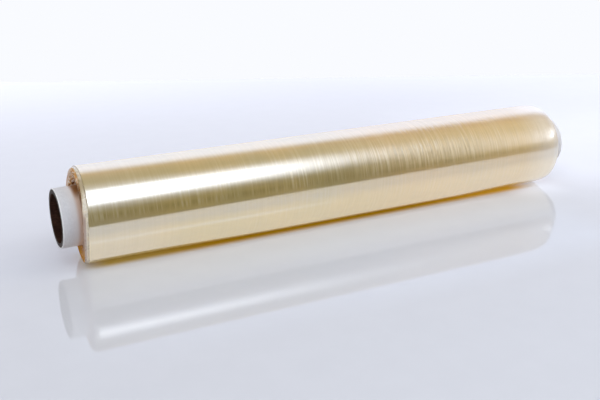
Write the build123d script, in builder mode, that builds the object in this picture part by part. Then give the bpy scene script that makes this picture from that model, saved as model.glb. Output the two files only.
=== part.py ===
from build123d import *
import os
from math import pi, radians, sin, sqrt, tan

# A roll of cling film on a paper core, lying on its side.
# X runs along the roll, Z is up, and the origin is under its middle, on the surface it lies on.
# Sizes are in millimetres and angles in degrees.

# Film: width and length of the sheet, and the thickness that one turn takes up on the roll
film_width = 450.0
film_length = 300000.0
turn_thickness = 0.0095

# Wound paper core, which stands out of the film at both ends
core_bore = 38.0
core_wall = 4.2
core_edge_break = 0.3
left_overhang = 15.5
right_overhang = 20.5
winding_gap = 0.05

# End faces: the turns lie in bands that moved sideways together while the film was wound.
# The left face leans, so that its front stands out further than its back.
band_height = 1.4
band_wander = 0.6
band_phase = 2.4
left_skew = 4.0

# Outermost wraps, which lie a little further right than the turns under them
wrap_depth = 0.7
wrap_shift = 2.2

# Flat that the soft roll presses under itself
flat_width = 10.0

# Spare length that the film is drawn with before its ends are cut to shape
trim_margin = 5.0

# What follows from those sizes
core_radius = core_bore / 2 + core_wall
film_inner_radius = core_radius + winding_gap
film_radius = sqrt(film_inner_radius**2 + film_length * turn_thickness / pi)
turns_radius = film_radius - wrap_depth
axis_height = sqrt(film_radius**2 - (flat_width / 2) ** 2)
core_length = left_overhang + film_width + right_overhang
core_left = -core_length / 2
film_left = core_left + left_overhang
film_right = film_left + film_width
turn_bands = round((turns_radius - film_inner_radius) / band_height)
trim_length = film_radius * tan(radians(left_skew)) + band_wander + wrap_shift + trim_margin


def cross_section(x):
    """Plane square to the roll's axis, looking along +X."""
    return Plane(origin=(x, 0, axis_height), x_dir=(0, 1, 0), z_dir=(1, 0, 0))


def end_plane(x, outward, skew):
    """Upright plane along the roll's axis at one end: its own x points out of that end and its own y up."""
    out_of_end = Vector(outward, 0, 0).rotate(Axis.Z, skew)
    return Plane(origin=(x, 0, axis_height), x_dir=out_of_end, z_dir=out_of_end.cross(Vector(0, 0, 1)))


def band_outline(outward):
    """Stepped outline of an end face, from the axis to past the rim, as (out of the end, radius) points.

    Every turn is as wide as the sheet, so a band that stands out at one end is sunk in at the other.
    """
    points = []
    inner_edge = 0.0
    for band in range(turn_bands):
        place = outward * band_wander * sin(band * band_phase)
        share = (band + 1) / turn_bands
        outer_edge = film_inner_radius + share * (turns_radius - film_inner_radius)
        points += [(place, inner_edge), (place, outer_edge)]
        inner_edge = outer_edge
    wrap_place = outward * wrap_shift
    points += [(wrap_place, turns_radius), (wrap_place, film_radius + trim_length)]
    return points


def beyond_end(plane, outward):
    """All the space beyond one end face, turned about that face's own axis."""
    with BuildPart() as space:
        with BuildSketch(plane):
            with BuildLine():
                outline = band_outline(outward)
                far_side = [(2 * trim_length, film_radius + trim_length), (2 * trim_length, 0)]
                Polyline(outline + far_side, close=True)
            make_face()
        revolve(axis=Axis(plane.origin, plane.x_dir))
    return space.part


# Core: one tube, its cut ends slightly broken
with BuildPart() as core_tube:
    with BuildSketch(cross_section(core_left)):
        Circle(core_radius)
        Circle(core_bore / 2, mode=Mode.SUBTRACT)
    extrude(amount=core_length)
    chamfer(core_tube.edges().filter_by(GeomType.CIRCLE), core_edge_break)

# Film: all its turns as one ring, with the bands of turns cut into both ends and the flat along the bottom
left_space = beyond_end(end_plane(film_left, -1, -left_skew), -1)
right_space = beyond_end(end_plane(film_right, 1, 0), 1)
with BuildPart() as film_roll:
    with BuildSketch(cross_section(film_left - trim_length)):
        Circle(film_radius)
        Circle(film_inner_radius, mode=Mode.SUBTRACT)
    extrude(amount=film_width + 2 * trim_length)
    add(left_space, mode=Mode.SUBTRACT)
    add(right_space, mode=Mode.SUBTRACT)
    split(bisect_by=Plane.XY, keep=Keep.TOP)

os.makedirs("parts", exist_ok=True)
core_tube.part.label = "core_tube"
export_step(core_tube.part, "parts/core_tube.step")
film_roll.part.label = "film_roll"
export_step(film_roll.part, "parts/film_roll.step")
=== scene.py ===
import math

import bpy
from mathutils import Matrix, Vector, noise


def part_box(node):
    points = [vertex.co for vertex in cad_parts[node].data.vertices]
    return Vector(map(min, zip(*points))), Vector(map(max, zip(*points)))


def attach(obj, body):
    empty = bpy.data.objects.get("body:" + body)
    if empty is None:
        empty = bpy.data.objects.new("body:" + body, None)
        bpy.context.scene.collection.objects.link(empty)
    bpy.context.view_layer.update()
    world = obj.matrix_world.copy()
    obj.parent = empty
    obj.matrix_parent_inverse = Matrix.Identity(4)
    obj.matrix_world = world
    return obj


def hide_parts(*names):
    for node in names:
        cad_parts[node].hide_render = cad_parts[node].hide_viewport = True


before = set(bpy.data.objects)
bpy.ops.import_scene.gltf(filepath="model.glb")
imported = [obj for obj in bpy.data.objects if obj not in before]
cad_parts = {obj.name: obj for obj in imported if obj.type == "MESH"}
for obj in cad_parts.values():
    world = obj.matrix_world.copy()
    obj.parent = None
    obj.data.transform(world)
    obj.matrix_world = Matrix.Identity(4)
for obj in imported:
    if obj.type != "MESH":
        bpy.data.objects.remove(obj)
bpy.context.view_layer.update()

# A roll of cling film on a paper core, lying on a glossy pale table.
# X runs along the roll, Z is up and the camera stands on the -Y side. Lengths are in metres.
# Round the roll, angle 0 faces the camera side, 90 degrees is up and 180 degrees faces away.

MM = 0.001
LEFT_SIDE, RIGHT_SIDE = -1, 1

# Places of the two solids
CORE_LOW, CORE_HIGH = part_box("core_tube")
FILM_LOW, FILM_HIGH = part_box("film_roll")
AXIS_HEIGHT = (CORE_LOW.z + CORE_HIGH.z) / 2
CORE_RADIUS = (CORE_HIGH.z - CORE_LOW.z) / 2
CORE_LEFT = CORE_LOW.x
CORE_RIGHT = CORE_HIGH.x
FILM_RADIUS = (FILM_HIGH.y - FILM_LOW.y) / 2

# Core
CORE_WALL = 4.2 * MM
BORE_RADIUS = CORE_RADIUS - CORE_WALL
CORE_PLIES = 7
PAPER_THICKNESS = 0.5 * MM
EDGE_BREAK = 0.3 * MM
BOARD_SETBACK = 0.05 * MM
PAPER_SETBACK = 0.02 * MM
STUB_UNDER_FILM = 4 * MM
SEAM_PITCH = 120 * MM
SEAM_HALF_SHARE = 0.008  # of one turn
SEAM_DEPTH = 0.08 * MM
CUT_GRAIN = 0.6 * MM
CUT_GRAINS_ROUND = 14
CUT_ROUGHNESS = 0.10 * MM
PLY_RELIEF = 0.12 * MM

# Film: the turns and the outermost wraps
WINDING_GAP = 0.05 * MM
FILM_INNER_RADIUS = CORE_RADIUS + WINDING_GAP
LEFT_OVERHANG = 15.5 * MM
FILM_WIDTH = 450.0 * MM
FILM_LEFT = CORE_LEFT + LEFT_OVERHANG
FILM_RIGHT = FILM_LEFT + FILM_WIDTH
WRAP_DEPTH = 0.7 * MM
WRAP_SHIFT = 2.2 * MM
WRAP_WAVE = 0.25 * MM
WRAP_WAVES_ROUND = 2
WRAP_EDGE = 0.15 * MM
TURNS_RADIUS = FILM_RADIUS - WRAP_DEPTH
STEP_TOP = 0.10 * MM
STEP_FOOT = 0.15 * MM
RIGHT_FACE_RADIUS = TURNS_RADIUS - 0.25 * MM
RIGHT_EASE_LENGTH = 14.0 * MM
RIGHT_EASE_DROP = 0.7 * MM

# Film: the strip of turns that stand out from under the wraps at the left
RIM_DEPTH = 0.75 * MM
RIM_RADIUS = TURNS_RADIUS - RIM_DEPTH
LEFT_FACE_RADIUS = RIM_RADIUS - 0.10 * MM
RIM_LEAST_WIDTH = 1.0 * MM
RIM_UPPER_WIDTH = 1.3 * MM
RIM_FRONT_WIDTH = 2.5 * MM
RIM_WIDEST_ANGLE = math.radians(21)
RIM_FADE_POWER = 6
RIM_UNDER_START = math.radians(66)
RIM_UNDER_END = math.radians(130)
RIM_START = 0.08 * MM
RIM_END_GAP = 0.05 * MM
RIM_ROUNDING = 0.9
RIM_RIDGE = 0.07 * MM
RIM_RIDGES = 7
RIM_GROOVE = 0.15 * MM
RIM_GROOVE_SHARE = 0.8

# Film: the end faces
LEFT_SKEW = math.tan(math.radians(4.0))
LEFT_WAVE_COS = -1.1 * MM
LEFT_WAVE_SIN = 0.7 * MM
FACE_RECESS = 2.4 * MM
FACE_RECESS_WIDTH = 9.0 * MM
BANDS = 10
BAND_WANDER = 0.6 * MM
BAND_PHASE = 2.4
BAND_STEP_SHARE = 0.22
TURN_GRAIN = 0.5 * MM
TURN_RIPPLE = 0.12 * MM
CRINKLE_GRAIN = 1.2 * MM
CRINKLE_GRAINS_ROUND = 9
CRINKLE_RIPPLE = 0.16 * MM

# Film: ridges that run round it and change little on their way, and the sag of the soft roll on the table
BROAD_RIDGE_PITCH = 9 * MM
BROAD_RIDGE_CHANGE = 0.8
BROAD_RIDGE_TIGHT = 0.008 * MM
BROAD_RIDGE_LOOSE = 0.012 * MM
NARROW_RIDGE_PITCH = 3.5 * MM
NARROW_RIDGE_CHANGE = 1.6
NARROW_RIDGE_LOOSE = 0.006 * MM
RIDGES_LOOSEN = (-0.15, 0.01)
EDGE_FADE_SHARE = 0.01
SAG = 1.2 * MM
SAG_ANGLE = math.radians(62)
SAG_SPREAD = math.radians(26)
SAG_STARTS = (-0.20, -0.07)
SAG_ENDS = (0.11, 0.19)

# Seeds that keep one noise apart from another
TURN_SEED = 11.0
CRINKLE_SEED = 20
CUT_SEED = 40
PLY_SEED = 3.0
PLY_LAYER = 0.5
RIM_SEED = 17
NARROW_RIDGE_SEED = 30
LEFT_EDGE_SEED = 5.0
RIGHT_EDGE_SEED = 9.0

# Fineness of the meshes
FILM_STEPS_ROUND = 128
FILM_STEPS_ALONG = 480
FACE_STEPS = 56
RIM_STEPS = 14
CORE_STEPS_ROUND = 144
CUT_STEPS = 4 * CORE_PLIES
STUB_STEPS = 24
BORE_STEPS = 60
SHARP_ANGLE = math.radians(40)


def turned(x, radius, angle):
    """Point of the roll at a place along it, a distance from its axis and an angle round it."""
    return Vector((x, -radius * math.cos(angle), AXIS_HEIGHT + radius * math.sin(angle)))


def angles_round(steps):
    """Angles of a ring's points, starting under the roll."""
    return [math.tau * step / steps - math.pi / 2 for step in range(steps)]


def smooth_step(low, high, value):
    """0 below low, 1 above high, and a smooth rise between them."""
    share = min(max((value - low) / (high - low), 0.0), 1.0)
    return share * share * (3 - 2 * share)


def lofted(name, rings, materials, band_material):
    """Closed mesh through rings of points: each ring is joined to the next one, and the last to the first."""
    steps = len(rings[0])
    points = [point for ring in rings for point in ring]
    faces = []
    for row in range(len(rings)):
        after = (row + 1) % len(rings)
        for step in range(steps):
            beside = (step + 1) % steps
            faces.append((row * steps + step, row * steps + beside,
                          after * steps + beside, after * steps + step))
    mesh = bpy.data.meshes.new(name)
    mesh.from_pydata(points, [], faces)
    for material in materials:
        mesh.materials.append(material)
    material_of_face = [band_material[face // steps] for face in range(len(faces))]
    mesh.polygons.foreach_set("material_index", material_of_face)
    mesh.polygons.foreach_set("use_smooth", [True] * len(faces))
    mesh.set_sharp_from_angle(angle=SHARP_ANGLE)
    mesh.update()
    piece = bpy.data.objects.new(name, mesh)
    bpy.context.scene.collection.objects.link(piece)
    return piece


class Nodes:
    """Node tree of a material or of the world, with short ways to add and join nodes."""

    def __init__(self, owner):
        self.owner = owner
        owner.use_nodes = True
        self.tree = owner.node_tree
        self.shader = self.tree.nodes.get("Principled BSDF")

    def set(self, **values):
        """Sets the shader's own sockets."""
        for name, value in values.items():
            self.shader.inputs[name.replace("_", " ")].default_value = value

    def feed(self, target, source):
        """Sets a socket to a number or colour, or joins it to another node's output."""
        if isinstance(source, bpy.types.NodeSocket):
            self.tree.links.new(source, target)
        else:
            target.default_value = source

    def drive(self, name, source):
        """Feeds one of the shader's own sockets."""
        self.feed(self.shader.inputs[name], source)

    def object_place(self):
        """Place on the object, in metres."""
        return self.tree.nodes.new("ShaderNodeTexCoord").outputs["Object"]

    def stretched(self, scale, offset=(0, 0, 0)):
        """Place on the object, scaled differently along X, Y and Z."""
        mapping = self.tree.nodes.new("ShaderNodeMapping")
        mapping.inputs["Scale"].default_value = scale
        mapping.inputs["Location"].default_value = offset
        self.feed(mapping.inputs["Vector"], self.object_place())
        return mapping.outputs["Vector"]

    def grain(self, place, scale=1.0, detail=2.0, roughness=0.5):
        """Smooth noise between 0 and 1."""
        texture = self.tree.nodes.new("ShaderNodeTexNoise")
        self.feed(texture.inputs["Vector"], place)
        texture.inputs["Scale"].default_value = scale
        texture.inputs["Detail"].default_value = detail
        texture.inputs["Roughness"].default_value = roughness
        return texture.outputs["Fac"]

    def turn_lines(self, scale, detail):
        """Noise between 0 and 1 that changes only with the distance from the roll's axis."""
        texture = self.tree.nodes.new("ShaderNodeTexNoise")
        texture.noise_dimensions = "1D"
        self.feed(texture.inputs["W"], self.from_axis())
        texture.inputs["Scale"].default_value = scale
        texture.inputs["Detail"].default_value = detail
        return texture.outputs["Fac"]

    def maths(self, kind, first, second=0.0):
        """Result of one sum."""
        node = self.tree.nodes.new("ShaderNodeMath")
        node.operation = kind
        self.feed(node.inputs[0], first)
        self.feed(node.inputs[1], second)
        return node.outputs["Value"]

    def product(self, first, *others):
        """Product of two or more values."""
        for other in others:
            first = self.maths("MULTIPLY", first, other)
        return first

    def total(self, first, *others):
        """Sum of two or more values."""
        for other in others:
            first = self.maths("ADD", first, other)
        return first

    def span(self, value, low, high, to_low=0.0, to_high=1.0):
        """Carries the range low to high over to another range, smoothly and without going past its ends."""
        node = self.tree.nodes.new("ShaderNodeMapRange")
        node.interpolation_type = "SMOOTHSTEP"
        self.feed(node.inputs["Value"], value)
        node.inputs["From Min"].default_value = low
        node.inputs["From Max"].default_value = high
        node.inputs["To Min"].default_value = to_low
        node.inputs["To Max"].default_value = to_high
        return node.outputs["Result"]

    def blend(self, share, first, second):
        """Colour between two colours."""
        node = self.tree.nodes.new("ShaderNodeMix")
        node.data_type = "RGBA"
        self.feed(node.inputs["Factor"], share)
        self.feed(node.inputs[6], first)
        self.feed(node.inputs[7], second)
        return node.outputs[2]

    def parts(self, place):
        """X, Y and Z of a place."""
        node = self.tree.nodes.new("ShaderNodeSeparateXYZ")
        self.feed(node.inputs["Vector"], place)
        return node.outputs["X"], node.outputs["Y"], node.outputs["Z"]

    def place(self, x, y, z):
        """Place with the given X, Y and Z."""
        node = self.tree.nodes.new("ShaderNodeCombineXYZ")
        for target, source in zip(node.inputs, (x, y, z)):
            self.feed(target, source)
        return node.outputs["Vector"]

    def along(self, way, axis):
        """How far a direction points along an axis."""
        node = self.tree.nodes.new("ShaderNodeVectorMath")
        node.operation = "DOT_PRODUCT"
        self.feed(node.inputs[0], way)
        self.feed(node.inputs[1], axis)
        return node.outputs["Value"]

    def from_axis(self):
        """Distance from the roll's axis, in metres."""
        _, y, z = self.parts(self.object_place())
        up = self.maths("SUBTRACT", z, AXIS_HEIGHT)
        return self.maths("SQRT", self.total(self.product(y, y), self.product(up, up)))

    def bump(self, height, distance, under=None):
        """Surface direction bent by a height, given as a length for the height's range of 1."""
        node = self.tree.nodes.new("ShaderNodeBump")
        node.inputs["Strength"].default_value = 1.0
        node.inputs["Distance"].default_value = distance
        self.feed(node.inputs["Height"], height)
        if under is not None:
            self.feed(node.inputs["Normal"], under)
        return node.outputs["Normal"]


def new_material(name):
    """Node tree of a new material."""
    return Nodes(bpy.data.materials.new(name))


# Values shared by the materials
BLACK = (0, 0, 0, 1)
NOISE_REACH = (0.3, 0.7)
ACROSS_MIDDLE = (-10 * MM, 10 * MM)

# Film: noise scales along X, Y and Z, and colours
THREAD_SCALE = (700, 9, 9)
RIDGE_SCALE = (230, 10, 10)
WRINKLE_SCALE = (560, 60, 60)
CLOUD_SCALE = (20, 30, 30)
HATCH_SCALE = (620, 30, 30)
GOLD_PAIR = ((0.79, 0.62, 0.225, 1), (0.91, 0.65, 0.20, 1))
WARM_GOLD_PAIR = ((0.88, 0.61, 0.22, 1), (0.96, 0.63, 0.21, 1))
LEFT_END_GOLD = (0.80, 0.64, 0.32, 1)
THREAD_GOLD = (0.62, 0.48, 0.16, 1)
# Painted reflection streaks: dark streaks and pale glints on the front flank
HATCH_PAINTED_DARK_REFLECTION = (0.54, 0.40, 0.11, 1)
HATCH_PAINTED_GLINT = (1.0, 0.86, 0.50, 1)
# Faint painted glints and painted shade streaks where turns lie looser
WRINKLE_PAINTED_GLINT = (1.0, 0.92, 0.70, 1)
WRINKLE_PAINTED_SHADE = (0.74, 0.50, 0.13, 1)
# Painted light, a painted highlight line and a faint painted glow at the right end
END_PAINTED_LIGHT = (0.93, 0.87, 0.78, 1)
END_PAINTED_HIGHLIGHT = (0.92, 0.90, 0.88, 1)
END_PAINTED_GLOW = (0.05, 0.05, 0.05, 1)
# Painted amber light at the foot
FILM_FOOT_PAINTED_LIGHT = (0.90, 0.50, 0.03, 1)
TURNS_LOOSEN = (-170 * MM, 10 * MM)
TURNS_LOOSE = (-20 * MM, 100 * MM)
RIDGE_BUMP = 0.05 * MM
WRINKLE_BUMP = 0.10 * MM


def film_material():
    """Outside of the wound film: golden, with a clear reflection, a streaky sheen where turns lie looser, painted
    reflection streaks, painted light at the right end and painted amber light at the foot.
    """
    film = new_material("film")
    film.set(IOR=7.5, Coat_Roughness=0.42, Coat_IOR=2.6, Emission_Strength=1.0)
    x, _, z = film.parts(film.object_place())
    threads = film.grain(film.stretched(THREAD_SCALE), detail=1.0, roughness=0.6)
    ridges = film.grain(film.stretched(RIDGE_SCALE, (3, 1, 2)), detail=0.5)
    wrinkles = film.grain(film.stretched(WRINKLE_SCALE, (5, 2, 8)), detail=0.6)
    clouds = film.grain(film.stretched(CLOUD_SCALE, (7, 0, 4)), detail=2.0)
    hatch = film.grain(film.stretched(HATCH_SCALE, (1, 4, 3)), detail=1.0)
    looser = film.span(x, *TURNS_LOOSEN, 0.05, 1.0)

    # Gold of the body, warmer to the right
    cloudy = film.span(clouds, *NOISE_REACH)
    gold = film.blend(film.span(x, -60 * MM, 60 * MM),
                      film.blend(cloudy, *GOLD_PAIR), film.blend(cloudy, *WARM_GOLD_PAIR))
    gold = film.blend(film.span(x, -215 * MM, -150 * MM, 0.6, 0.0), gold, LEFT_END_GOLD)
    gold = film.blend(film.span(threads, 0.40, 0.66, 0.0, 0.12), gold, THREAD_GOLD)

    # Fine hatching of painted reflection on the front flank, dark streaks and pale glints, weaker at the upper
    # left and at the right
    painted_streak_band = film.product(film.span(z, 41 * MM, 46 * MM), film.span(z, 61 * MM, 69 * MM, 1.0, 0.35))
    from_left = film.maths("MAXIMUM", film.span(x, -110 * MM, -10 * MM, 0.5, 1.0),
                           film.span(z, 46 * MM, 51 * MM, 1.0, 0.0))
    painted_streak_band = film.product(painted_streak_band, from_left, film.span(x, 90 * MM, 190 * MM, 1.0, 0.35))
    gold = film.blend(film.product(film.span(hatch, 0.32, 0.68, 0.68, 0.0), painted_streak_band), gold, HATCH_PAINTED_DARK_REFLECTION)
    gold = film.blend(film.product(film.span(hatch, 0.50, 0.74, 0.0, 0.42), painted_streak_band), gold, HATCH_PAINTED_GLINT)
    # Faint painted glints and painted shade streaks where turns lie looser
    gold = film.blend(film.product(film.span(wrinkles, 0.50, 0.70, 0.0, 0.04), looser), gold, WRINKLE_PAINTED_GLINT)
    gold = film.blend(film.product(film.span(wrinkles, 0.30, 0.46, 0.04, 0.0), looser), gold, WRINKLE_PAINTED_SHADE)

    # Painted light at the right end, with a painted highlight line at its edge and a faint painted glow, and the
    # amber line of painted light at the foot
    painted_light_end = film.span(x, 178 * MM, 224 * MM)
    gold = film.blend(film.product(painted_light_end, 0.75), gold, END_PAINTED_LIGHT)
    gold = film.blend(film.span(x, 217 * MM, 223 * MM, 0.0, 0.8), gold, END_PAINTED_HIGHLIGHT)
    # Painted amber light along the lowest millimetres of the roll
    painted_foot_light = film.span(z, 1 * MM, 5 * MM, 1.0, 0.0)
    film.drive("Base Color", film.blend(painted_foot_light, gold, FILM_FOOT_PAINTED_LIGHT))
    film.drive("Emission Color", film.blend(painted_light_end, BLACK, END_PAINTED_GLOW))

    # Gloss
    dull = film.product(film.span(hatch, 0.48, 0.72, 0.0, 0.14), film.span(x, -170 * MM, -40 * MM, 0.4, 1.0))
    film.drive("Roughness", film.total(film.span(clouds, *NOISE_REACH, 0.08, 0.12), dull))
    sheen = film.product(film.span(wrinkles, 0.36, 0.64, 0.30, 0.34), film.span(x, *TURNS_LOOSEN, 0.42, 1.0),
                         film.span(x, *TURNS_LOOSE, 1.0, 0.5))
    film.drive("Coat Weight", sheen)

    # Ridges and wrinkles too fine for the mesh
    bent = film.bump(film.product(ridges, looser), RIDGE_BUMP)
    standing = film.product(film.span(wrinkles, *NOISE_REACH), film.span(x, *TURNS_LOOSE, 0.06, 1.0),
                            film.span(x, 80 * MM, 170 * MM, 1.0, 0.7),
                            film.span(z, 49 * MM, 63 * MM, 0.4, 1.0))
    film.drive("Normal", film.bump(standing, WRINKLE_BUMP, under=bent))
    return film.owner


# End faces: noise scales and colours
EDGE_LINES = 2600
EDGE_CRINKLES_OUT = 600
EDGE_CRINKLES_ROUND = 6
EDGE_AMBER_PAIR = ((0.72, 0.33, 0.07, 1), (0.94, 0.58, 0.22, 1))
EDGE_CALM_PAIR = ((0.76, 0.48, 0.19, 1), (0.94, 0.74, 0.44, 1))
EDGE_SHADED_PAIR = ((0.44, 0.29, 0.22, 1), (0.66, 0.48, 0.40, 1))
# Painted amber light at the foot
EDGE_FOOT_PAINTED_LIGHT_PAIR = ((0.60, 0.26, 0.004, 1), (0.96, 0.46, 0.012, 1))
# Painted shade and painted glints in the crinkles
EDGE_CRINKLE_PAINTED_SHADE = (0.20, 0.07, 0.02, 1)
EDGE_CRINKLE_PAINTED_GLINT = (1.0, 0.92, 0.82, 1)
# Painted shade in the recess by the core
EDGE_PAINTED_SHADE_BY_CORE = (0.26, 0.09, 0.012, 1)
# Painted light on the outermost turns of the face
EDGE_PAINTED_LIGHT_RIM = (0.96, 0.54, 0.14, 1)
# Painted light on the back and painted dark shade at the upper front of the left face
EDGE_PAINTED_LIGHT_BACK = (0.98, 0.80, 0.66, 1)
EDGE_PAINTED_DARK_SHADE = (0.20, 0.075, 0.018, 1)
EDGE_LINE_BUMP = 0.25 * MM
EDGE_CRINKLE_BUMP = 0.6 * MM


def film_edge_material():
    """End faces, where the edges of the turns lie side by side: amber, with painted shade by the core and painted
    light on the outer turns.

    The left one is crinkled along the turns, with painted glints and shade in the crinkles, painted light at its
    back, painted shade at its front and painted amber light at its foot. The right one is calmer, with fainter
    painted amber light at its foot.
    """
    edge = new_material("film_edge")
    edge.set(IOR=1.45, Specular_IOR_Level=0.03)
    radius = edge.from_axis()
    x, y, z = edge.parts(edge.object_place())
    lines = edge.turn_lines(EDGE_LINES, 3)
    line_share = edge.span(lines, *NOISE_REACH)
    across = edge.maths("DIVIDE", y, radius)
    upward = edge.maths("DIVIDE", edge.maths("SUBTRACT", z, AXIS_HEIGHT), radius)
    crinkle_place = edge.place(edge.product(radius, EDGE_CRINKLES_OUT),
                               edge.product(across, EDGE_CRINKLES_ROUND),
                               edge.product(upward, EDGE_CRINKLES_ROUND))
    crinkle = edge.grain(crinkle_place, detail=2, roughness=0.6)

    # Both faces
    tone = edge.blend(line_share, *EDGE_AMBER_PAIR)
    # Painted shade and painted glints in the crinkles
    tone = edge.blend(edge.span(crinkle, 0.37, 0.45, 0.95, 0.0), tone, EDGE_CRINKLE_PAINTED_SHADE)
    tone = edge.blend(edge.span(crinkle, 0.50, 0.56), tone, EDGE_CRINKLE_PAINTED_GLINT)
    # Painted shade in the recess by the core
    shade_by_core = edge.span(radius, FILM_INNER_RADIUS + 1 * MM, FILM_INNER_RADIUS + 8 * MM, 0.6, 0.0)
    tone = edge.blend(shade_by_core, tone, EDGE_PAINTED_SHADE_BY_CORE)
    # Painted light on the outermost turns of the face
    rim = edge.span(radius, RIM_RADIUS - 3.0 * MM, RIM_RADIUS - 0.5 * MM, 0.0, 0.7)
    tone = edge.blend(rim, tone, EDGE_PAINTED_LIGHT_RIM)

    # Calmer right face
    calm = edge.blend(line_share, *EDGE_CALM_PAIR)
    tone = edge.blend(edge.span(x, *ACROSS_MIDDLE, 0.0, 0.7), tone, calm)

    # Painted light on the back and painted shade on the front of the left face, darkest higher up at the front
    on_left = edge.span(x, *ACROSS_MIDDLE, 1.0, 0.0)
    back = edge.product(edge.span(y, 2 * MM, 18 * MM),
                        edge.span(radius, RIM_RADIUS - 8.0 * MM, RIM_RADIUS - 3.0 * MM), on_left, 0.85)
    tone = edge.blend(back, tone, EDGE_PAINTED_LIGHT_BACK)
    front = edge.product(edge.span(y, -27 * MM, -7 * MM, 0.9, 0.0), on_left,
                         edge.span(z, 67 * MM, 72 * MM, 1.0, 0.0))
    shaded = edge.blend(edge.span(z, 50 * MM, 60 * MM), edge.blend(line_share, *EDGE_SHADED_PAIR), EDGE_PAINTED_DARK_SHADE)
    tone = edge.blend(front, tone, shaded)

    # Painted amber light at the foot, fainter on the right face
    painted_foot_light = edge.product(edge.span(z, 6 * MM, 27 * MM, 0.97, 0.0), edge.span(x, *ACROSS_MIDDLE, 1.0, 0.6))
    edge.drive("Base Color", edge.blend(painted_foot_light, tone, edge.blend(line_share, *EDGE_FOOT_PAINTED_LIGHT_PAIR)))
    edge.drive("Roughness", edge.span(crinkle, *NOISE_REACH, 0.25, 0.45))
    edge.drive("Normal", edge.bump(crinkle, EDGE_CRINKLE_BUMP, under=edge.bump(lines, EDGE_LINE_BUMP)))
    return edge.owner


# Strip of turns at the left rim: noise scales and colours
RIM_LINES = 6000
RIM_WEAR = 260
RIM_CREAM_PAIR = ((0.74, 0.62, 0.42, 1), (0.95, 0.89, 0.78, 1))
RIM_WORN = (0.85, 0.62, 0.32, 1)
# Painted shade at the upper front of the strip
RIM_PAINTED_SHADE_UPPER = (0.46, 0.34, 0.17, 1)
RIM_SHADED = (0.50, 0.36, 0.30, 1)
RIM_LINE_BUMP = 0.10 * MM


def film_rim_material():
    """Turns that stand out from under the outermost wraps: pale cream, with a fine line at each step, painted
    shade at its upper front and on its inner lower front.
    """
    rim = new_material("film_rim")
    rim.set(IOR=2.0, Coat_Weight=0.5, Coat_Roughness=0.1)
    _, y, z = rim.parts(rim.object_place())
    lines = rim.turn_lines(RIM_LINES, 2)
    wear = rim.grain(rim.object_place(), scale=RIM_WEAR, detail=2.0)
    cream = rim.blend(rim.span(lines, *NOISE_REACH), *RIM_CREAM_PAIR)
    cream = rim.blend(rim.span(wear, 0.5, 0.75, 0.0, 0.5), cream, RIM_WORN)
    # Painted shade: darker tan on the upper front of the strip
    upper = rim.product(rim.span(z, 52 * MM, 58 * MM, 0.0, 0.8), rim.span(z, 69 * MM, 73 * MM, 1.0, 0.0),
                        rim.span(y, -14 * MM, -6 * MM, 1.0, 0.0))
    cream = rim.blend(upper, cream, RIM_PAINTED_SHADE_UPPER)
    inner = rim.span(rim.from_axis(), RIM_RADIUS + 0.45 * MM, RIM_RADIUS + 0.62 * MM, 0.9, 0.0)
    front_low = rim.product(rim.span(z, 44 * MM, 52 * MM, 1.0, 0.0), rim.span(y, -20 * MM, -12 * MM, 1.0, 0.0))
    rim.drive("Base Color", rim.blend(rim.product(inner, front_low), cream, RIM_SHADED))
    rim.drive("Roughness", rim.span(wear, *NOISE_REACH, 0.2, 0.4))
    rim.drive("Normal", rim.bump(lines, RIM_LINE_BUMP))
    return rim.owner


# Paper of the core: noise scales and colours
PAPER_FIBRES = (900, 500, 500)
PAPER_CLOUDS = 90
PAPER_WHITE_PAIR = ((0.74, 0.745, 0.77, 1), (0.82, 0.825, 0.85, 1))
PAPER_CLOUDED = (0.69, 0.68, 0.70, 1)
# Painted light and a painted warm bounce near the film
PAPER_PAINTED_LIGHT_NEAR_FILM = (0.90, 0.86, 0.86, 1)
PAPER_PAINTED_BOUNCE_BY_FILM = (0.80, 0.60, 0.46, 1)
# Painted shadow where the core meets the film
PAPER_PAINTED_SHADOW = (0.27, 0.10, 0.012, 1)
PAPER_CUT = (0.96, 0.96, 0.96, 1)
PAPER_BUMP = 0.04 * MM


def core_paper_material():
    """White paper round the outside of the core, with painted light, a painted warm bounce and a painted shadow
    beside the film.
    """
    paper = new_material("core_paper")
    x, _, z = paper.parts(paper.object_place())
    fibres = paper.grain(paper.stretched(PAPER_FIBRES), detail=4.0, roughness=0.65)
    clouds = paper.grain(paper.object_place(), scale=PAPER_CLOUDS, detail=2.0)
    white = paper.blend(paper.span(fibres, *NOISE_REACH), *PAPER_WHITE_PAIR)
    white = paper.blend(paper.span(clouds, 0.35, 0.7, 0.0, 0.4), white, PAPER_CLOUDED)
    off_middle = paper.maths("ABSOLUTE", x)
    # Painted light on the paper near the film, and closer still a painted warm bounce from the film
    white = paper.blend(paper.span(off_middle, 231 * MM, 238 * MM, 0.7, 0.0), white, PAPER_PAINTED_LIGHT_NEAR_FILM)
    white = paper.blend(paper.span(off_middle, 229 * MM, 232.5 * MM, 0.9, 0.0), white, PAPER_PAINTED_BOUNCE_BY_FILM)
    # Painted shadow on top of the core where it meets the film
    painted_shadow_by_film = paper.product(paper.span(off_middle, 228.5 * MM, 232.5 * MM, 0.95, 0.0),
                               paper.span(z, 54 * MM, 60 * MM))
    white = paper.blend(painted_shadow_by_film, white, PAPER_PAINTED_SHADOW)
    at_cut = paper.span(off_middle, 241.8 * MM, 242.6 * MM)
    paper.drive("Base Color", paper.blend(at_cut, white, PAPER_CUT))
    paper.drive("Roughness", paper.span(fibres, *NOISE_REACH, 0.55, 0.7))
    paper.drive("Normal", paper.bump(fibres, PAPER_BUMP))
    return paper.owner


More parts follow.
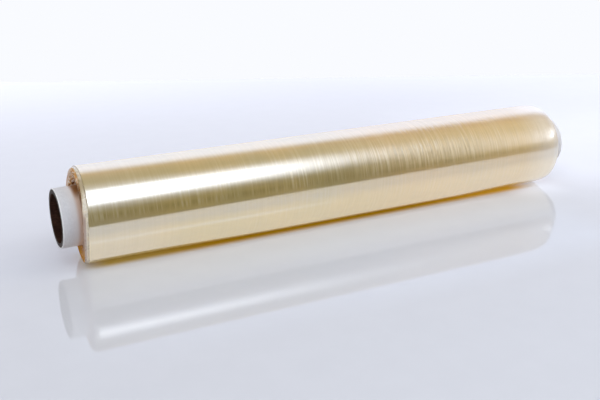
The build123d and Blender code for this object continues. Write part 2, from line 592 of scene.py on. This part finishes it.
# Board of the core: noise scales and colours
BOARD_FIBRES = (400, 900, 900)
BOARD_GREY_PAIR = ((0.05, 0.040, 0.036, 1), (0.11, 0.095, 0.085, 1))
BOARD_FIBRE = (0.16, 0.14, 0.13, 1)
BOARD_BUMP = 0.12 * MM
BORE_CLOUDS = 160
BORE_BROWN_PAIR = ((0.036, 0.012, 0.007, 1), (0.095, 0.042, 0.026, 1))
BORE_CLOUDED = (0.020, 0.006, 0.004, 1)
BORE_BUMP = 0.15 * MM


def core_board_material():
    """Grey-brown board at the core's cut ends, with its plies showing."""
    board = new_material("core_board")
    plies = board.turn_lines(CORE_PLIES / CORE_WALL, 1)
    fibres = board.grain(board.stretched(BOARD_FIBRES), detail=4.0, roughness=0.7)
    grey = board.blend(board.span(plies, 0.35, 0.65), *BOARD_GREY_PAIR)
    board.drive("Base Color", board.blend(board.span(fibres, 0.45, 0.75, 0.0, 0.6), grey, BOARD_FIBRE))
    board.drive("Roughness", board.span(fibres, *NOISE_REACH, 0.75, 0.9))
    board.drive("Normal", board.bump(fibres, BOARD_BUMP))
    return board.owner


def core_bore_material():
    """Dark red-brown board inside the core."""
    bore = new_material("core_bore")
    bore.set(Specular_IOR_Level=0.2)
    fibres = bore.grain(bore.stretched(BOARD_FIBRES), detail=4.0, roughness=0.7)
    clouds = bore.grain(bore.object_place(), scale=BORE_CLOUDS, detail=2.0)
    brown = bore.blend(bore.span(fibres, *NOISE_REACH), *BORE_BROWN_PAIR)
    bore.drive("Base Color", bore.blend(bore.span(clouds, 0.35, 0.7, 0.0, 0.6), brown, BORE_CLOUDED))
    bore.drive("Roughness", bore.span(fibres, *NOISE_REACH, 0.8, 0.95))
    bore.drive("Normal", bore.bump(fibres, BORE_BUMP))
    return bore.owner


def band_place(radius):
    """How far the band of turns at a radius lies to the right of the others."""
    share = (radius - FILM_INNER_RADIUS) / (TURNS_RADIUS - FILM_INNER_RADIUS)
    place = share * BANDS
    band = min(int(place), BANDS - 1)
    here = BAND_WANDER * math.sin(band * BAND_PHASE)
    before = BAND_WANDER * math.sin(max(band - 1, 0) * BAND_PHASE)
    return before + (here - before) * smooth_step(0.0, BAND_STEP_SHARE, place - band)


def face_ripple(radius, angle, side):
    """Small in and out of single turns on an end face."""
    turn = noise.noise(Vector((radius / TURN_GRAIN, TURN_SEED * side, 0.0)))
    crinkle = noise.noise(Vector((radius / CRINKLE_GRAIN,
                                  CRINKLE_GRAINS_ROUND * math.cos(angle) + CRINKLE_SEED * side,
                                  CRINKLE_GRAINS_ROUND * math.sin(angle))))
    return TURN_RIPPLE * turn + CRINKLE_RIPPLE * crinkle


def left_lean(radius, angle):
    """Leaning and wavy plane of the left end: its front stands out further than its back."""
    wave = LEFT_WAVE_COS * math.cos(2 * angle) + LEFT_WAVE_SIN * math.sin(2 * angle)
    return FILM_LEFT - LEFT_SKEW * radius * math.cos(angle) + wave * (radius / RIM_RADIUS) ** 2


def left_face(radius, angle):
    """Place along the roll of the left end face."""
    recess = FACE_RECESS * (1 - smooth_step(FILM_INNER_RADIUS, FILM_INNER_RADIUS + FACE_RECESS_WIDTH, radius))
    return left_lean(radius, angle) + recess + band_place(radius) + face_ripple(radius, angle, LEFT_SIDE)


def right_face(radius, angle):
    """Place along the roll of the right end face."""
    return FILM_RIGHT + band_place(radius) + face_ripple(radius, angle, RIGHT_SIDE)


def edge_wave(angle, seed):
    """Unevenness of an edge of the outermost wraps."""
    return WRAP_WAVE * noise.noise(Vector((WRAP_WAVES_ROUND * math.cos(angle),
                                           WRAP_WAVES_ROUND * math.sin(angle), seed)))


def wrap_left(angle):
    """Left edge of the outermost wraps. The turns under them stand out most at the front and lower front."""
    off_widest = math.remainder(angle - RIM_WIDEST_ANGLE, math.tau)
    if off_widest > 0:
        front = max(math.cos(off_widest), 0.0) ** RIM_FADE_POWER
    else:
        front = smooth_step(-RIM_UNDER_END, -RIM_UNDER_START, off_widest)
    upper = max(math.sin(angle), 0.0)
    narrowest = left_lean(RIM_RADIUS, angle) + RIM_LEAST_WIDTH
    return narrowest + RIM_UPPER_WIDTH * upper + RIM_FRONT_WIDTH * front + edge_wave(angle, LEFT_EDGE_SEED)


def wrap_right(angle):
    """Right edge of the outermost wraps."""
    return FILM_RIGHT + WRAP_SHIFT + edge_wave(angle, RIGHT_EDGE_SEED)


def surface_ridge(x, angle):
    """Height of the low ridges that run round the film."""
    broad = noise.noise(Vector((x / BROAD_RIDGE_PITCH, BROAD_RIDGE_CHANGE * math.cos(angle),
                                BROAD_RIDGE_CHANGE * math.sin(angle))))
    narrow = noise.noise(Vector((x / NARROW_RIDGE_PITCH, NARROW_RIDGE_CHANGE * math.cos(angle),
                                 NARROW_RIDGE_CHANGE * math.sin(angle) + NARROW_RIDGE_SEED)))
    looser = smooth_step(*RIDGES_LOOSEN, x)
    return (BROAD_RIDGE_TIGHT + BROAD_RIDGE_LOOSE * looser) * broad + NARROW_RIDGE_LOOSE * looser * narrow


def sag(x, angle):
    """How far the soft roll bulges beside its line on the table, most in the middle of its length."""
    along = smooth_step(*SAG_STARTS, x) * (1 - smooth_step(*SAG_ENDS, x))
    off_foot = abs(math.remainder(angle + math.pi / 2, math.tau))
    beside = off_foot - (math.pi / 2 - SAG_ANGLE)
    return SAG * along * math.exp(-((beside / SAG_SPREAD) ** 2))


def on_table(point):
    """The soft roll is pressed flat where it meets the table."""
    point.z = max(point.z, 0.0)
    return point


def film_piece():
    """All the turns of film as one closed form: end faces, the outermost wraps and the seat on the core."""
    angles = angles_round(FILM_STEPS_ROUND)
    rings = []
    kinds = []
    outside, edge, rim = 0, 1, 2

    def add(kind, place):
        rings.append([on_table(turned(*place(angle), angle)) for angle in angles])
        kinds.append(kind)

    # Left face, from the core out to its rim
    for step in range(FACE_STEPS + 1):
        radius = FILM_INNER_RADIUS + (LEFT_FACE_RADIUS - FILM_INNER_RADIUS) * step / FACE_STEPS
        add(edge, lambda angle: (left_face(radius, angle), radius))
    # Turns that stand out from under the outermost wraps, each a little further in than the one below it
    for step in range(RIM_STEPS + 1):
        share = step / RIM_STEPS

        def on_rim(angle):
            start = left_face(RIM_RADIUS, angle) + RIM_START
            x = start + (wrap_left(angle) - RIM_END_GAP - start) * share
            rise = math.sin(share * math.pi / 2) ** RIM_ROUNDING
            along_edge = Vector((RIM_RIDGES * share, math.cos(angle), math.sin(angle) + RIM_SEED))
            ridge = RIM_RIDGE * noise.noise(along_edge)
            groove = RIM_GROOVE * smooth_step(RIM_GROOVE_SHARE, 1.0, share)
            return x, RIM_RADIUS + RIM_DEPTH * rise + ridge - groove

        add(rim, on_rim)
    # Outermost wraps
    add(outside, lambda angle: (wrap_left(angle), FILM_RADIUS - WRAP_EDGE))
    for step in range(FILM_STEPS_ALONG + 1):
        share = step / FILM_STEPS_ALONG

        def on_wraps(angle):
            start = wrap_left(angle) + WRAP_EDGE
            end = wrap_right(angle) - WRAP_EDGE
            x = start + (end - start) * share
            fade = smooth_step(0.0, EDGE_FADE_SHARE, share) * smooth_step(0.0, EDGE_FADE_SHARE, 1 - share)
            ease = RIGHT_EASE_DROP * max(1 - (end - x) / RIGHT_EASE_LENGTH, 0.0) ** 2
            return x, FILM_RADIUS + fade * surface_ridge(x, angle) - ease + sag(x, angle)

        add(outside, on_wraps)
    add(outside, lambda angle: (wrap_right(angle), FILM_RADIUS - RIGHT_EASE_DROP - WRAP_EDGE))
    # Step from the wraps in to the right face, and the face from its rim in to the core
    add(edge, lambda angle: (wrap_right(angle), TURNS_RADIUS - STEP_TOP))
    add(edge, lambda angle: (right_face(TURNS_RADIUS, angle), TURNS_RADIUS - STEP_FOOT))
    for step in range(FACE_STEPS, -1, -1):
        radius = FILM_INNER_RADIUS + (RIGHT_FACE_RADIUS - FILM_INNER_RADIUS) * step / FACE_STEPS
        add(edge, lambda angle: (right_face(radius, angle), radius))
    piece = lofted("film_sheet", rings, [film_material(), film_edge_material(), film_rim_material()], kinds)
    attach(piece, "root")
    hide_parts("film_roll")


def core_piece():
    """Wound paper tube, white outside, with the plies of brown board showing at its cut ends."""
    angles = angles_round(CORE_STEPS_ROUND)
    rings = []
    kinds = []
    paper, board, bore = 0, 1, 2

    def add(kind, place):
        rings.append([turned(*place(angle), angle) for angle in angles])
        kinds.append(kind)

    def outside(x, angle):
        """Radius of the paper surface, with a shallow groove where the wound strip meets itself."""
        place = (angle / math.tau + x / SEAM_PITCH) % 1.0
        groove = 1 - smooth_step(0.0, SEAM_HALF_SHARE, min(place, 1 - place))
        return CORE_RADIUS - SEAM_DEPTH * groove

    def cut_radius(step):
        """Radius of a ring on the board's cut end."""
        width = CORE_WALL - PAPER_THICKNESS - 2 * EDGE_BREAK
        return BORE_RADIUS + EDGE_BREAK + width * step / CUT_STEPS

    def cut_depth(radius, angle, side):
        """How far the rough cut end lies in from a flat one."""
        rough = noise.noise(Vector((radius / CUT_GRAIN, CUT_GRAINS_ROUND * math.cos(angle),
                                    CUT_GRAINS_ROUND * math.sin(angle) + CUT_SEED * side)))
        ply = noise.noise(Vector((radius / (CORE_WALL / CORE_PLIES), PLY_SEED * side, PLY_LAYER)))
        return BOARD_SETBACK + CUT_ROUGHNESS * rough + PLY_RELIEF * ply

    # Left end. The last ring of board is where the paper starts.
    for step in range(CUT_STEPS + 1):
        radius = cut_radius(step)
        add(board, lambda angle: (CORE_LEFT + cut_depth(radius, angle, LEFT_SIDE), radius))
    kinds[-1] = paper
    add(paper, lambda angle: (CORE_LEFT + PAPER_SETBACK, CORE_RADIUS - EDGE_BREAK))
    # Paper, close together on the two stubs and in one stretch under the film
    left_length = FILM_LEFT + STUB_UNDER_FILM - CORE_LEFT
    right_length = CORE_RIGHT - FILM_RIGHT + STUB_UNDER_FILM
    stub_shares = [step / STUB_STEPS for step in range(STUB_STEPS + 1)]
    left_stub = [CORE_LEFT + EDGE_BREAK + left_length * share for share in stub_shares]
    right_stub = [CORE_RIGHT - EDGE_BREAK - right_length * share for share in reversed(stub_shares)]
    for x in left_stub + right_stub:
        add(paper, lambda angle: (x, outside(x, angle)))
    add(paper, lambda angle: (CORE_RIGHT - PAPER_SETBACK, CORE_RADIUS - EDGE_BREAK))
    # Right end. The last ring of board is where the bore starts.
    for step in range(CUT_STEPS, -1, -1):
        radius = cut_radius(step)
        add(board, lambda angle: (CORE_RIGHT - cut_depth(radius, angle, RIGHT_SIDE), radius))
    kinds[-1] = bore
    bore_length = CORE_RIGHT - CORE_LEFT - 2 * EDGE_BREAK
    for step in range(BORE_STEPS, -1, -1):
        x = CORE_LEFT + EDGE_BREAK + bore_length * step / BORE_STEPS
        add(bore, lambda angle: (x, BORE_RADIUS))
    materials = [core_paper_material(), core_board_material(), core_bore_material()]
    piece = lofted("paper_core", rings, materials, kinds)
    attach(piece, "root")
    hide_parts("core_tube")


# Camera, placed as the photograph's was
CAMERA_PLACE = Vector((-358.83, -630.72, 245.04)) * MM
CAMERA_YAW = 0.47439
CAMERA_PITCH = 0.30812
CAMERA_ROLL = -0.01481
CAMERA_LENS = 51.339
CAMERA_SENSOR = 36
CAMERA_NEAR = 0.01


def add_camera():
    """Camera at the photograph's viewing angle."""
    forward = Vector((math.sin(CAMERA_YAW) * math.cos(CAMERA_PITCH),
                      math.cos(CAMERA_YAW) * math.cos(CAMERA_PITCH),
                      -math.sin(CAMERA_PITCH)))
    level_right = Vector((math.cos(CAMERA_YAW), -math.sin(CAMERA_YAW), 0))
    level_up = level_right.cross(forward)
    right = level_right * math.cos(CAMERA_ROLL) + level_up * math.sin(CAMERA_ROLL)
    up = level_up * math.cos(CAMERA_ROLL) - level_right * math.sin(CAMERA_ROLL)
    data = bpy.data.cameras.new("camera")
    data.sensor_fit = "HORIZONTAL"
    data.sensor_width = CAMERA_SENSOR
    data.lens = CAMERA_LENS
    data.clip_start = CAMERA_NEAR
    camera = bpy.data.objects.new("camera", data)
    turn = Matrix((right, up, -forward)).transposed()
    camera.matrix_world = Matrix.Translation(CAMERA_PLACE) @ turn.to_4x4()
    bpy.context.scene.collection.objects.link(camera)
    bpy.context.scene.camera = camera


def flat_piece(name, corners, material):
    """Flat stage piece with the given corners."""
    mesh = bpy.data.meshes.new(name)
    mesh.from_pydata(corners, [], [tuple(range(len(corners)))])
    mesh.materials.append(material)
    piece = bpy.data.objects.new(name, mesh)
    bpy.context.scene.collection.objects.link(piece)
    return piece


# Table. Reflections see it only behind the line MIRRORED_FRONT, given by its X and Y at both ends.
FLOOR_HEIGHT = -0.05 * MM
TABLE_BACK = 1.458
TABLE_REACH = 3.2
TABLE_FRONT_REACH = Vector((0, -3, 0))
MIRRORED_FRONT = ((-3.2, 0.385), (3.15, -0.8056))
BACKWARD = Vector((math.sin(CAMERA_YAW), math.cos(CAMERA_YAW), 0))
TABLE_HAZE = 40
TABLE_PALE_PAIR = ((0.578, 0.592, 0.624, 1), (0.588, 0.602, 0.634, 1))
TABLE_GLOW = (0.94, 0.97, 1.10, 1)
# Painted cool light where the table mirrors the roll
COOL_GLOW = (0.10, 0.113, 0.145, 1)
COOL_GLOW_NEAR = (0.116, 0.134, 0.165, 1)
FOOT_SHADE_PAIR = ((0.46, 0.34, 0.11, 1), (0.50, 0.30, 0.02, 1))
# Painted amber light at the roll's foot
FOOT_PAINTED_AMBER_LIGHT_PAIR = ((0.13, 0.095, 0.022, 1), (0.125, 0.078, 0.003, 1))
FOOT_PAINTED_AMBER_LIGHT_RIGHT = (0.22, 0.130, 0.012, 1)
PAST_END = 206 * MM


def table_material():
    """Glossy pale table top, lit from below, most at the back, with painted shade and painted amber light at the
    roll's foot, painted light round its right end and painted cool light where it mirrors the roll.
    """
    table = new_material("table")
    table.set(IOR=1.5, Emission_Strength=1.0)
    x, y, _ = table.parts(table.object_place())
    off_axis = table.maths("ABSOLUTE", y)
    haze = table.grain(table.object_place(), scale=TABLE_HAZE, detail=2.0)
    foot = table.product(table.span(off_axis, 14 * MM, 25 * MM, 1.0, 0.0), table.span(x, -234 * MM, -207 * MM),
                         table.span(x, 186 * MM, 220 * MM, 1.0, 0.0))
    to_middle = table.span(x, -200 * MM, -110 * MM)
    pale = table.blend(table.span(haze, *NOISE_REACH), *TABLE_PALE_PAIR)
    table.drive("Base Color", table.blend(foot, pale, table.blend(to_middle, *FOOT_SHADE_PAIR)))
    table.drive("Roughness", table.span(haze, *NOISE_REACH, 0.008, 0.016))

    # Glow of the table, with painted light round the roll's right end
    to_back = table.total(table.span(y, -0.25, 0.32, 0.055, 0.22), table.span(y, 0.2, 1.0, 0.0, 0.215))
    to_right = table.product(table.span(x, 200 * MM, 310 * MM, 0.0, 0.16), table.span(y, -110 * MM, 0.0),
                             table.span(y, 0.08, 0.42, 1.0, 0.0))
    far_right = table.product(table.span(x, 0.25, 0.70, 0.0, 0.075), table.span(y, 0.22, 0.38))
    end_distance = table.maths("ABSOLUTE", table.maths("SUBTRACT", x, PAST_END))
    past_end = table.product(table.span(end_distance, 8 * MM, 40 * MM, 0.13, 0.0),
                             table.span(off_axis, 10 * MM, 70 * MM, 1.0, 0.0))
    glow = table.blend(table.total(to_back, table.total(to_right, far_right), past_end), BLACK, TABLE_GLOW)

    # Painted cool light where the table mirrors the roll
    mirror = table.product(table.span(y, -70 * MM, -30 * MM, 1.0, 0.0), table.span(y, -200 * MM, -140 * MM),
                           table.span(x, -150 * MM, 0.0, 0.55, 1.0), table.span(x, -300 * MM, -200 * MM),
                           table.span(x, 150 * MM, 215 * MM, 1.0, 0.0))
    cool = table.blend(table.span(y, -110 * MM, -60 * MM), COOL_GLOW, COOL_GLOW_NEAR)
    glow = table.blend(mirror, glow, cool)

    # Painted amber light at the roll's foot
    painted_amber_light = table.blend(to_middle, *FOOT_PAINTED_AMBER_LIGHT_PAIR)
    painted_amber_light = table.blend(table.span(x, 40 * MM, 190 * MM), painted_amber_light, FOOT_PAINTED_AMBER_LIGHT_RIGHT)
    table.drive("Emission Color", table.blend(foot, glow, painted_amber_light))
    return table.owner


def add_table():
    """Pale table in two pieces. Reflections don't show the front one, so the film mirrors the back one alone."""
    material = table_material()
    side = Vector((BACKWARD.y, -BACKWARD.x, 0))
    foot = Vector((CAMERA_PLACE.x, CAMERA_PLACE.y, FLOOR_HEIGHT))
    back_left = foot + BACKWARD * TABLE_BACK - side * TABLE_REACH
    back_right = foot + BACKWARD * TABLE_BACK + side * TABLE_REACH
    near_left, near_right = [Vector((x, y, FLOOR_HEIGHT)) for x, y in MIRRORED_FRONT]
    flat_piece("table_back", [near_left, near_right, back_right, back_left], material)
    front_corners = [near_left + TABLE_FRONT_REACH, near_right + TABLE_FRONT_REACH, near_right, near_left]
    front = flat_piece("table_front", front_corners, material)
    front.visible_glossy = False


# Card over the table. Its front edge follows MIRRORED_FRONT, moved and turned a little.
CARD_HEIGHT = 0.2 * MM
CARD_LEFT = -0.7
CARD_RIGHT = 0.9
CARD_SHIFT = -7 * MM
CARD_TURN = 0.035
CARD_BACK = -19 * MM
CARD_FAR = (0.56, 0.565, 0.60, 1)
CARD_FAR_RIGHT = (0.585, 0.565, 0.555, 1)
CARD_NEAR_END = (0.79, 0.72, 0.64, 1)
CARD_NEAR_LEFT = (0.78, 0.695, 0.56, 1)
CARD_NEAR_RIGHT = (0.85, 0.775, 0.68, 1)
CARD_LINE = (0.86, 0.84, 0.82, 1)
CARD_LINE_PLACE = 55 * MM


def card_front(x):
    """Y of the card's front edge."""
    (x0, y0), (x1, y1) = MIRRORED_FRONT
    slope = (y1 - y0) / (x1 - x0)
    return y0 + slope * (x - x0) + CARD_SHIFT + CARD_TURN * x


def add_table_card():
    """Card that stands for the lit table in reflections alone: warm by the roll's foot, neutral further out."""
    card = new_material("table_card")
    card.set(Base_Color=BLACK, Roughness=1.0, Specular_IOR_Level=0.0, Emission_Strength=1.0)
    x, y, _ = card.parts(card.object_place())
    near = card.blend(card.span(x, -190 * MM, -130 * MM), CARD_NEAR_END, CARD_NEAR_LEFT)
    near = card.blend(card.span(x, 0.0, 200 * MM), near, CARD_NEAR_RIGHT)
    far = card.blend(card.span(x, -80 * MM, 80 * MM), CARD_FAR, CARD_FAR_RIGHT)
    far = card.blend(card.span(y, -230 * MM, -105 * MM, 0.08, 0.0), far, BLACK)
    tone = card.blend(card.span(y, -100 * MM, -45 * MM), far, near)
    off_line = card.maths("ABSOLUTE", card.total(y, CARD_LINE_PLACE))
    line = card.product(card.span(off_line, 1 * MM, 6 * MM, 0.75, 0.0), card.span(x, -70 * MM, 20 * MM, 1.0, 0.0))
    card.drive("Emission Color", card.blend(line, tone, CARD_LINE))

    # Clear from below
    clear = card.tree.nodes.new("ShaderNodeBsdfTransparent")
    side = card.tree.nodes.new("ShaderNodeNewGeometry")
    either = card.tree.nodes.new("ShaderNodeMixShader")
    card.feed(either.inputs[0], side.outputs["Backfacing"])
    card.feed(either.inputs[1], card.shader.outputs["BSDF"])
    card.feed(either.inputs[2], clear.outputs["BSDF"])
    card.feed(card.tree.nodes["Material Output"].inputs["Surface"], either.outputs["Shader"])

    corners = [(CARD_LEFT, card_front(CARD_LEFT), CARD_HEIGHT), (CARD_RIGHT, card_front(CARD_RIGHT), CARD_HEIGHT),
               (CARD_RIGHT, CARD_BACK, CARD_HEIGHT), (CARD_LEFT, CARD_BACK, CARD_HEIGHT)]
    piece = flat_piece("table_card", corners, card.owner)
    piece.visible_camera = False
    piece.visible_diffuse = False
    piece.visible_shadow = False


# Soft side lights: place and watts
FILLS = {
    "fill_right": (Vector((0.95, -0.45, 0.55)), 4.0),
    "fill_left": (Vector((-0.95, -0.20, 0.30)), 1.5),
}
FILL_SIZE = 0.6


def add_fills():
    """Soft lights from both sides, which the film doesn't mirror."""
    for name, (place, watts) in FILLS.items():
        data = bpy.data.lights.new(name, "AREA")
        data.size = FILL_SIZE
        data.energy = watts
        light = bpy.data.objects.new(name, data)
        turn = place.to_track_quat("Z", "Y").to_matrix()
        light.matrix_world = Matrix.Translation(place) @ turn.to_4x4()
        light.visible_camera = False
        light.visible_glossy = False
        bpy.context.scene.collection.objects.link(light)


# Softbox. On it, X runs along the roll from the roll's middle, and Y up and back from the softbox's middle line.
SOFTBOX_ANGLE = math.radians(52.0)
SOFTBOX_DISTANCE = 1.0
SOFTBOX_HALF_WIDTH = 1.0
SOFTBOX_LEFT = -0.7
SOFTBOX_RIGHT = 1.5
SOFTBOX_LIGHT = 3.75
SOFTBOX_SHOULDER = 0.58
SOFTBOX_HALO = 0.46
SOFTBOX_COLOUR = (0.90, 0.99, 1.14, 1)
SOFTBOX_MIDDLE = (0.90, 0.965, 1.03, 1)
SLAT_PITCH = 0.10
SLAT_LIGHT = 0.65
GLINT_LIGHT = 1.2


def softbox_material():
    """Clear sheet with a line of light: bright at the left, dim slats to the right and a glint at its end."""
    glow = new_material("softbox")
    x, y, _ = glow.parts(glow.object_place())

    # Distance from the line of light, which bends down at the right and is of uneven width
    bend = glow.maths("SUBTRACT", glow.span(x, 0.60, 1.10, 0.0, 0.42), glow.span(x, 1.12, 1.34, 0.0, 0.11))
    narrowing = glow.product(glow.span(x, 0.10, 0.28, 1.0, 1.12), glow.span(x, 0.32, 0.48, 1.0, 0.90))
    across = glow.product(glow.maths("ABSOLUTE", glow.total(y, bend)), narrowing)

    # Shape of the light across the line: crisp at the left, softer to the right
    middle = glow.span(across, 0.03, 0.15, 1.0 - SOFTBOX_SHOULDER, 0.0)
    crisp = glow.total(middle, glow.span(across, 0.12, 0.43, SOFTBOX_SHOULDER, 0.0))
    soft = glow.span(across, 0.0, 0.55, 1.0, 0.0)
    softer = glow.span(x, 0.10, 0.45)
    body = glow.total(crisp, glow.product(softer, glow.maths("SUBTRACT", soft, crisp)))

    # Strength along the line
    main = glow.span(x, -0.10, 0.72, SOFTBOX_LIGHT, 0.0)
    slats = glow.span(glow.maths("SINE", glow.product(x, math.tau / SLAT_PITCH)), 0.4, 1.0)
    far_end = glow.total(glow.product(slats, glow.span(x, 0.45, 0.65, 0.0, SLAT_LIGHT)),
                         glow.span(x, 1.24, 1.34, 0.0, GLINT_LIGHT))
    halo = glow.product(glow.span(across, 0.15, 0.80, SOFTBOX_HALO, 0.0), glow.span(x, 0.20, 0.60, 1.0, 0.15))
    strength = glow.total(glow.product(glow.total(main, far_end), body), halo)

    off_line = glow.maths("MAXIMUM", glow.span(across, 0.03, 0.22), softer)
    light = glow.tree.nodes.new("ShaderNodeEmission")
    glow.feed(light.inputs["Color"], glow.blend(off_line, SOFTBOX_MIDDLE, SOFTBOX_COLOUR))
    glow.feed(light.inputs["Strength"], strength)
    clear = glow.tree.nodes.new("ShaderNodeBsdfTransparent")
    both = glow.tree.nodes.new("ShaderNodeAddShader")
    glow.feed(both.inputs[0], light.outputs["Emission"])
    glow.feed(both.inputs[1], clear.outputs["BSDF"])
    glow.feed(glow.tree.nodes["Material Output"].inputs["Surface"], both.outputs["Shader"])
    return glow.owner


def add_softbox():
    """Long softbox over the camera side, along the roll."""
    corners = [(SOFTBOX_LEFT, -SOFTBOX_HALF_WIDTH, 0), (SOFTBOX_LEFT, SOFTBOX_HALF_WIDTH, 0),
               (SOFTBOX_RIGHT, SOFTBOX_HALF_WIDTH, 0), (SOFTBOX_RIGHT, -SOFTBOX_HALF_WIDTH, 0)]
    panel = flat_piece("softbox", corners, softbox_material())
    out = Vector((0, -math.cos(SOFTBOX_ANGLE), math.sin(SOFTBOX_ANGLE)))
    along_roll = Vector((1, 0, 0))
    turn = Matrix((along_roll, out.cross(along_roll), out)).transposed()
    middle = Vector((0, 0, AXIS_HEIGHT)) + out * SOFTBOX_DISTANCE
    panel.matrix_world = Matrix.Translation(middle) @ turn.to_4x4()
    panel.visible_camera = False
    panel.visible_shadow = False


# Studio round the table
STUDIO_SEEN = (0.95, 0.965, 1.0, 1)
STUDIO_BEHIND = (1.01, 1.07, 1.28, 1)
STUDIO_FRONT = (0.01, 0.01, 0.01, 1)
STUDIO_ABOVE = (0.24, 0.205, 0.155, 1)
STUDIO_WARM = (0.41, 0.285, 0.195, 1)
STUDIO_RIGHT = (0.54, 0.44, 0.30, 1)
STUDIO_RIGHT_LOW = 0.65
RIGHT_WAY = (1.0, 0.0, 0.12)
BRIGHT_YAW = CAMERA_YAW + 0.1
BRIGHT_WAY = Vector((math.sin(BRIGHT_YAW), math.cos(BRIGHT_YAW), 0))


def add_world():
    """Pale studio: bright behind the table, warmer to the right and above, dark on the camera side."""
    world = bpy.data.worlds.new("studio")
    bpy.context.scene.world = world
    studio = Nodes(world)
    way = studio.tree.nodes.new("ShaderNodeTexCoord").outputs["Generated"]
    _, _, up = studio.parts(way)
    behind = studio.along(way, BRIGHT_WAY)
    right = studio.product(studio.span(studio.along(way, RIGHT_WAY), 0.48, 0.74),
                           studio.span(up, 0.0, 0.26, STUDIO_RIGHT_LOW, 1.0))
    light = studio.blend(studio.span(up, 0.40, 0.75), STUDIO_FRONT, STUDIO_ABOVE)
    light = studio.blend(right, light, STUDIO_RIGHT)
    light = studio.blend(studio.span(behind, 0.22, 0.56), light, STUDIO_WARM)
    light = studio.blend(studio.span(behind, 0.47, 0.78), light, STUDIO_BEHIND)
    seen = studio.tree.nodes.new("ShaderNodeLightPath").outputs["Is Camera Ray"]
    studio.feed(studio.tree.nodes["Background"].inputs["Color"], studio.blend(seen, light, STUDIO_SEEN))


bpy.context.scene.view_settings.view_transform = "Standard"
add_camera()
film_piece()
core_piece()
add_table()
add_table_card()
add_softbox()
add_fills()
add_world()
